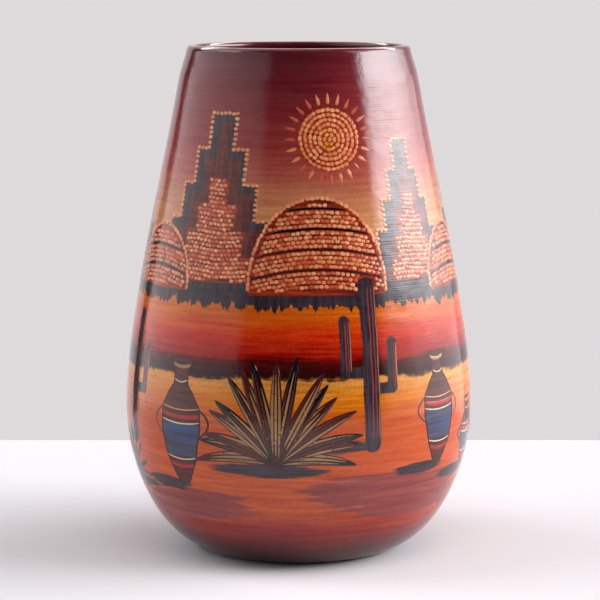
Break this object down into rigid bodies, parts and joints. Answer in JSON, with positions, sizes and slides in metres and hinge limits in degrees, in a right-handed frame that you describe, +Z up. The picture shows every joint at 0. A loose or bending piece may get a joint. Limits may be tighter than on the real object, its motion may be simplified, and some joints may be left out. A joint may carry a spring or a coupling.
{
  "type": "earthenware vase",
  "caption": "Hand-painted earthenware vase: low full belly, walls leaning in nearly straight to an open mouth, small turned foot, varnished painted coat outside.",
  "frame": {"origin": "centre of the foot, on the surface that the vase stands on", "axes": "+Z up along the vase's turning axis, towards the mouth; the painted frieze faces -Y with its main motif"},
  "size_m": [0.1728, 0.1728, 0.25],
  "materials": {
    "bare_terracotta": "matt, low-fired red clay, turned and wiped smooth",
    "varnished_paint": "brushed earth-colour paints under a glossy clear varnish",
    "sealing_wash": "dark red-brown sealing wash, satin"
  },
  "bodies": {
    "root": {"foot_and_floor": "bare_terracotta", "lower_wall": "bare_terracotta", "upper_wall": "bare_terracotta", "rim": "bare_terracotta", "painted_coat": "varnished_paint", "inner_coat": "sealing_wash"}
  },
  "joints": []
}
